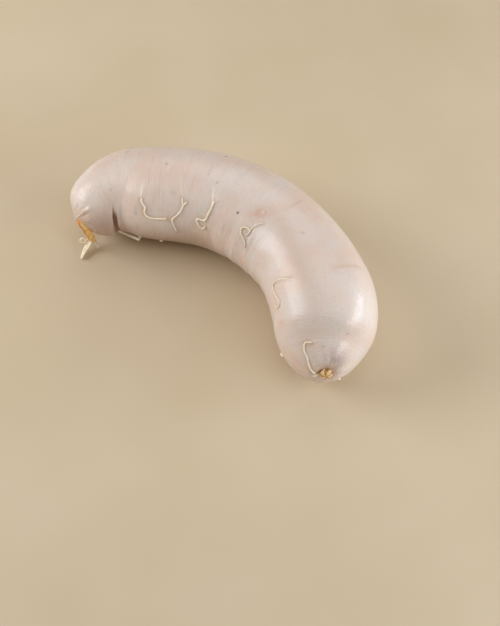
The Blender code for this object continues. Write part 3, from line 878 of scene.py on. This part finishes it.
def knot_tree():
    """The tied nub of casing: a ball wrung into a few twisted folds, its axis along z."""
    inputs = {
        "Material": "Material",
        "Segments": 72,
        "Rings": 48,
        "Half width": 2.0,
        "Half height": 1.6,
        "Depth": 1.5,
        "Folds": 5.0,
        "Twist": 2.6,
        "Swirl": 1.2,
        "Fold depth": 0.08,
        "Fine fold share": 0.3,
        "Pit place": 0.15,
        "Pit width": 0.2,
        "Pit depth": 0.25,
        "Crumple": 0.38,
        "Seed": 1.0,
    }
    tree, size = start_tree("tied knot", inputs, {"Mesh": "Geometry"})
    ball = {"Segments": size["Segments"], "Rings": size["Rings"], "Radius": 1.0}
    mesh = out(add_node(tree, "GeometryNodeMeshUVSphere", ball))
    x, y, z = split(place_flow(tree))
    from_axis = (x * x + y * y).math("SQRT")
    turned = y.math("ARCTAN2", x)
    wrung = (size["Folds"] * turned + size["Twist"] * z + size["Swirl"] * from_axis).math("COSINE")
    fine = (size["Folds"] * 2.0 * turned - size["Twist"] * 2.0 * z).math("COSINE")
    folds = size["Fold depth"] * wrung + size["Fine fold share"] * size["Fold depth"] * fine
    swell = 1.0 + from_axis * folds
    pit = bell(from_axis - size["Pit place"], size["Pit width"]) * z.math("GREATER_THAN", 0.0)
    depth = z * (swell - pit * size["Pit depth"]) * size["Depth"]
    mesh = keep_value(mesh, "across", 0.5 - 0.5 * wrung)
    mesh = move(mesh, combine(tree, x * swell * size["Half width"], y * swell * size["Half height"], depth))
    crumple = noise(place_flow(tree), size=0.8, detail=3.0, seed=size["Seed"]) * size["Crumple"]
    mesh = nudge(mesh, vector("SCALE", outward(tree), crumple))
    finish_tree(tree, mesh, size["Material"])
    return tree


def add_object(name, data):
    made = bpy.data.objects.new(name, data)
    bpy.context.scene.collection.objects.link(made)
    return made


def guide(name, splines, radii=None, tilts=None):
    """A curve object that a tree reads, in millimetres. It goes once every piece is made."""
    curve = bpy.data.curves.new(name, "CURVE")
    curve.dimensions = "3D"
    for points in splines:
        spline = curve.splines.new("POLY")
        spline.points.add(len(points) - 1)
        for i, point in enumerate(points):
            spline.points[i].co = (*point, 1.0)
            spline.points[i].radius = 1.0 if radii is None else radii[i]
            spline.points[i].tilt = 0.0 if tilts is None else math.radians(tilts[i])
    guides.append(add_object(name, curve))
    return guides[-1]


def on_map(route, lift=None):
    """A route laid out on the flat map, with the lift of each of its places or one for all."""
    lifts = [place[2] for place in route] if lift is None else [lift] * len(route)
    return [(place[0], place[1] * DEGREE_ON_MAP, up) for place, up in zip(route, lifts)]


def grow(name, tree, values):
    """Run a tree, and keep what it makes as a plain closed mesh whose faces point outwards."""
    piece = add_object(name, bpy.data.meshes.new(name))
    modifier = piece.modifiers.new(tree.name, "NODES")
    modifier.node_group = tree
    for item in tree.interface.items_tree:
        if item.in_out == "INPUT" and item.name in values:
            modifier[item.identifier] = values[item.name]
    graph = bpy.context.evaluated_depsgraph_get()
    mesh = bpy.data.meshes.new_from_object(piece.evaluated_get(graph))
    piece.modifiers.clear()
    shape = bmesh.new()
    shape.from_mesh(mesh)
    bmesh.ops.recalc_face_normals(shape, faces=shape.faces)
    shape.to_mesh(mesh)
    shape.free()
    mesh.name = name
    piece.data = mesh
    return piece


def new_material(name):
    made = bpy.data.materials.new(name)
    made.use_nodes = True
    return made, made.node_tree, made.node_tree.nodes["Principled BSDF"]


def set_shader(shader, values):
    """Give a shader's inputs their flows and plain values."""
    for name, value in values.items():
        feed(shader.id_data, shader.inputs[name], value)


def attribute(tree, name, key="Fac"):
    return out(add_node(tree, "ShaderNodeAttribute", attribute_name=name), key)


def object_place(tree):
    return out(tree.nodes.new("ShaderNodeTexCoord"), "Object")


def blend(amount, first, second):
    inputs = {"Factor": amount, "A": first, "B": second}
    return out(add_node(amount.tree, "ShaderNodeMix", inputs, data_type="RGBA"))


def bump(height, distance):
    inputs = {"Height": height, "Distance": distance, "Strength": 1.0}
    return out(add_node(height.tree, "ShaderNodeBump", inputs))


def near(straight, station, angle, size):
    """1 at a place on the skin, falling off past the size."""
    return bell(vector("DISTANCE", straight, straight_place(station, angle)), size)


def casing_material():
    """Moist translucent casing over fine pale meat."""
    made, tree, shader = new_material("casing")
    straight = attribute(tree, "straight", "Vector")
    station = split(straight)[0]

    # The meat's tone, and its fine grain and mottling.
    tone = noise(straight, size=11.0, seed=4.0)
    colour = blend(ramp(tone, -0.35, 0.45), CASING_PALE, CASING_CREAM)
    patch = ramp(noise(straight, size=7.0, detail=3.0, seed=8.0), 0.0, 0.6)
    colour = blend(patch * 0.35, colour, CASING_PINK)
    grain = ramp(noise(straight, size=0.9, detail=3.0, seed=2.0), 0.0, 0.7)
    colour = blend(grain * 0.5, colour, CASING_PINK)
    mottle = noise(straight, size=0.45, seed=21.0)
    colour = blend(ramp(mottle, 0.1, 0.7) * 0.4, colour, VEIN_COLOUR)
    freckle = ramp(noise(straight, size=0.7, detail=1.0, seed=31.0), 0.34, 0.66)
    colour = blend(freckle * 0.6, colour, BLOTCH_AND_SHADE_COLOUR)
    colour = blend(ramp(-mottle, 0.1, 0.7) * 0.22, colour, CASING_GREY)

    # Fine streaks round the body, and painted shade in the troughs of the wrinkles inside the bend.
    streaked = 1.0 - 0.75 * ramp(station, *STRETCHED_SMOOTH)
    streak = noise(straight, size=0.7, stretch=(1.0, 9.0, 9.0), detail=3.0, seed=6.0) * streaked
    colour = blend(ramp(streak, 0.0, 0.7) * 0.35, colour, CASING_GREY)
    colour = blend(ramp(-streak, 0.05, 0.7) * 0.4, colour, VEIN_COLOUR)
    trough_shade = ramp(-attribute(tree, "bend_wrinkle"), 0.05, 0.5)
    colour = blend(trough_shade * 0.35, colour, BLOTCH_AND_SHADE_COLOUR)

    # Blotches; mostly painted shade on the lobe; painted light, painted shade and a painted shadow round the
    # knot.
    patchy = ramp(noise(straight, size=1.3, seed=41.0), -0.6, 0.35)
    for at, angle, size, strength in BLOTCHES:
        colour = blend(near(straight, at, angle, size) * strength * patchy, colour, BLOTCH_AND_SHADE_COLOUR)
    # Mostly painted shade on the lobe, which faces down and away from the lamps; partly the meat's own
    # greyer tone.
    lobe = near(straight, station=5.5, angle=78, size=5.5)
    colour = blend(lobe * 0.65, colour, CASING_GREY)
    # Painted light: a paler patch on top of the knotted end, standing in for light that falls there.
    knot_end_light = near(straight, station=LENGTH - 12.0, angle=5, size=9.0)
    colour = blend(knot_end_light * 0.5, colour, CASING_PALE)
    # Painted shade and painted reflection of the dark room: a grey fan beside the knot, streaked along the
    # pleats.
    knot_side_shade = near(straight, station=LENGTH - 2.2, angle=-36, size=3.7) * 0.65
    pleated = ramp(attribute(tree, "pleat") + 0.25, -0.2, 0.5)
    colour = blend(knot_side_shade * pleated, colour, KNOT_SHADE)
    # Painted shadow: a brown ring in the dimple round the knot, cast by the dimple's rim.
    knot_seat_shade = near(straight, station=LENGTH, angle=0, size=2.8)
    colour = blend(knot_seat_shade * 0.7, colour, KNOT_SEAT_SHADE)

    # Painted shade beside the threads, pale veins, and painted shade in the creases and the fold.
    colour = blend(bell(attribute(tree, "thread_gap"), 0.8) * 0.45, colour, THREAD_SHADE)
    colour = blend(attribute(tree, "vein") * 0.6, colour, VEIN_COLOUR)
    colour = blend(attribute(tree, "crease") * 0.3, colour, THREAD_SHADE)
    colour = blend(attribute(tree, "fold") * 0.8, colour, FOLD_SHADE)

    # Painted warm shade low down, more so towards the tail, and the specks.
    low = 1.0 - ramp(split(object_place(tree))[2], 8.0 * MM, 23.0 * MM)
    tailward = 1.0 - 0.75 * ramp(station, 35.0, 90.0)
    colour = blend(low * tailward * 0.42, colour, FOLD_SHADE)
    for at, angle, size, strength in SPECKS:
        colour = blend(near(straight, at, angle, size) * strength, colour, SPECK_COLOUR)

    smear = noise(straight, size=3.0, stretch=(1.0, 2.0, 2.0), detail=3.0, seed=11.0)
    fine = noise(straight, size=0.35, stretch=(1.0, 3.0, 3.0), seed=13.0) + 0.7 * streak
    set_shader(shader, {
        "Base Color": colour,
        "Roughness": 0.36 + 0.1 * smear,
        "Normal": bump(fine, distance=0.09 * MM),
        "IOR": 1.42,
        "Subsurface Weight": 0.35,
        "Subsurface Radius": (1.0, 0.5, 0.3),
        "Subsurface Scale": 2.0 * MM,
        "Coat Weight": 0.33,
        "Coat Roughness": 0.2,
    })
    return made


def thread_material():
    """Cream-white gut, a little glassy."""
    made, tree, shader = new_material("gut_thread")
    place = object_place(tree)
    tone = ramp(noise(place, size=1.2 * MM), -0.4, 0.4)
    set_shader(shader, {
        "Base Color": blend(tone, GUT_WHITE, GUT_CREAM),
        "Roughness": 0.34 + 0.1 * noise(place, size=0.6 * MM, seed=3.0),
        "Normal": bump(noise(place, size=0.22 * MM), distance=0.03 * MM),
        "Subsurface Weight": 0.1,
        "Subsurface Radius": (1.0, 0.85, 0.7),
        "Subsurface Scale": 0.3 * MM,
        "Coat Weight": 0.2,
    })
    return made


def dried_material(name, colours, roughness=0.42, coat=0.3):
    """Dried casing in patches, with dark edges that fade towards a ribbon's tip."""
    pale, amber, dark = colours
    made, tree, shader = new_material(name)
    place = object_place(tree)
    tone = noise(place, size=1.6 * MM, detail=3.0, seed=2.0)
    edge = ramp(attribute(tree, "across").math("ABSOLUTE") + 0.5 * tone, 0.25, 1.0)
    root = 1.0 - 0.7 * ramp(attribute(tree, "along"), 0.3, 0.7)
    set_shader(shader, {
        "Base Color": blend(edge * root, blend(ramp(tone, -0.3, 0.35), pale, amber), dark),
        "Roughness": roughness + 0.12 * noise(place, size=0.9 * MM, seed=5.0),
        "Normal": bump(noise(place, size=0.3 * MM), distance=0.04 * MM),
        "Coat Weight": coat,
        "Coat Roughness": 0.2,
    })
    return made


def add_floor():
    mesh = bpy.data.meshes.new("floor")
    shape = bmesh.new()
    bmesh.ops.create_grid(shape, x_segments=1, y_segments=1, size=FLOOR_HALF)
    shape.to_mesh(mesh)
    shape.free()
    floor = add_object("floor", mesh)
    made, tree, shader = new_material("floor_finish")
    tone = ramp(noise(object_place(tree), size=50.0 * MM), -0.5, 0.5)
    set_shader(shader, {"Base Color": blend(tone, FLOOR_LIGHT, FLOOR_DARK), "Roughness": 0.75})
    mesh.materials.append(made)


def add_softbox(name, azimuth, elevation, distance, size, power, colour):
    """A soft area light that faces the sausage. Azimuth 0 is behind it and 90 to its right."""
    light = bpy.data.lights.new(name, "AREA")
    light.shape = "RECTANGLE"
    light.size, light.size_y = size
    light.energy = power
    light.color = colour
    made = add_object(name, light)
    a, e = math.radians(azimuth), math.radians(elevation)
    away = Vector((math.sin(a) * math.cos(e), math.cos(a) * math.cos(e), math.sin(e)))
    made.location = away * distance
    made.rotation_euler = (-away).to_track_quat("-Z", "Y").to_euler()


def add_camera():
    data = bpy.data.cameras.new("camera")
    data.lens = LENS
    data.sensor_width = SENSOR
    data.clip_start = 0.01
    camera = add_object("camera", data)
    elevation = math.radians(VIEW_ELEVATION)
    back = Vector((0.0, -math.cos(elevation), math.sin(elevation)))
    distance = VIEW_HEIGHT * LENS / SENSOR
    camera.location = (Vector(VIEW_TARGET) + back * distance) * MM
    camera.rotation_euler = (-back).to_track_quat("-Z", "Y").to_euler()
    bpy.context.scene.camera = camera


def add_world():
    world = bpy.data.worlds.new("room")
    world.use_nodes = True
    set_shader(world.node_tree.nodes["Background"], {"Color": ROOM_COLOUR, "Strength": ROOM_STRENGTH})
    bpy.context.scene.world = world


def make_casing(group, centreline_guide):
    """The sausage's skin, from the tailed tip to the knotted one."""
    casing = grow("casing", casing_tree(group), {
        "Centreline": centreline_guide,
        "Veins": guide("vein_guide", [on_map(route) for route in VEINS]),
        "Creases": guide("crease_guide", [on_map(route) for route in CREASES]),
        "Threads": guide("thread_guide", [on_map(route, 0.0) for _, _, route in THREADS.values()]),
        "Material": casing_material(),
    })
    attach(casing, "root")
    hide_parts("sausage")


def lay_thread(name, tree, values, points, half):
    """A thread of this half thickness through the points."""
    route = guide(name + "_guide", [points], [half] * len(points))
    piece = grow(name, tree, values | {"Route": route})
    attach(piece, "root")


def make_threads(tree, centreline_guide):
    """The threads and stubs of gut on the skin, and the strand that hangs low on the front."""
    values = {"Centreline": centreline_guide, "Material": thread_material(), "On the skin": True}
    for seed, (name, (half, lift, route)) in enumerate(THREADS.items()):
        lay_thread(name, tree, values | {"Seed": float(seed)}, on_map(route, lift), half)
    free = values | {"On the skin": False, "Seed": STRAND_SEED}
    lay_thread("low_strand", tree, free, LOW_STRAND, STRAND_HALF)
    for i, (station, angle, size) in enumerate(STUBS):
        reach = size * STUB_REACH
        route = [(station - reach, angle), (station, angle + STUB_BOW), (station + reach, angle)]
        stub = values | {"Seed": STUB_SEED + i}
        lay_thread(f"stub_{i + 1}", tree, stub, on_map(route, STUB_LIFT * size), STUB_HALF * size)


def make_tail(tree, centreline_guide):
    """The dried tail: an open curl of casing, a hanging strip, a flap and a scrap."""
    pale_finish = dried_material("tail_pale", TAIL_PALE, roughness=0.6, coat=0.0)
    amber_finish = dried_material("tail_amber", TAIL_AMBER)
    turned = np.radians(np.linspace(*CURL_TURN, CURL_POINTS))
    circle = np.stack([np.cos(turned), np.sin(turned), np.sin(turned)], -1)
    curl = np.array(CURL_CENTRE) + circle * CURL_SIZE
    curl[0, 0] += CURL_LOOSE_END
    free = {"Centreline": centreline_guide, "Material": pale_finish, "On the skin": False}
    lay_thread("tail_curl", tree, free | {"Seed": CURL_SEED}, curl.tolist(), CURL_HALF)

    ribbons = ribbon_tree()
    for seed, (name, route) in enumerate(TAIL_RIBBONS.items()):
        halves, turns = [place[3] for place in route], [place[4] for place in route]
        route_guide = guide(name + "_guide", [[place[:3] for place in route]], halves, turns)
        finish = amber_finish if name == "tail_strip" else pale_finish
        piece = grow(name, ribbons, {"Route": route_guide, "Material": finish, "Seed": float(seed)})
        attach(piece, "root")


def make_knot():
    """The tied nub, sunk a little into the dimple of the knotted tip."""
    knot = grow("knot", knot_tree(), {"Material": dried_material("knot_amber", KNOT_AMBER)})
    before = LENGTH - SKIN_SIZES["Section reach"]
    end = Vector(LINE[-1])
    along = (end - Vector([np.interp(before, STATIONS, c) for c in LINE.T])).normalized()
    side = along.cross(Vector((0, 0, 1))).normalized()
    up = side.cross(along)
    seat = Matrix((side, up, along)).transposed().to_4x4()
    seat.translation = (end - along * KNOT_SUNK - up * KNOT_DROP) * MM
    knot.data.transform(seat)
    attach(knot, "root")


add_camera()
add_world()
add_floor()
for name, settings in SOFTBOXES.items():
    add_softbox(name, *settings)
bpy.context.scene.view_settings.view_transform = "Standard"

guides = []
group = skin_place_tree()
threads = thread_tree(group)
centreline_guide = guide("centreline_guide", [LINE.tolist()], body_radius(STATIONS).tolist())
make_casing(group, centreline_guide)
make_threads(threads, centreline_guide)
make_tail(threads, centreline_guide)
make_knot()
for used in guides:
    bpy.data.objects.remove(used)
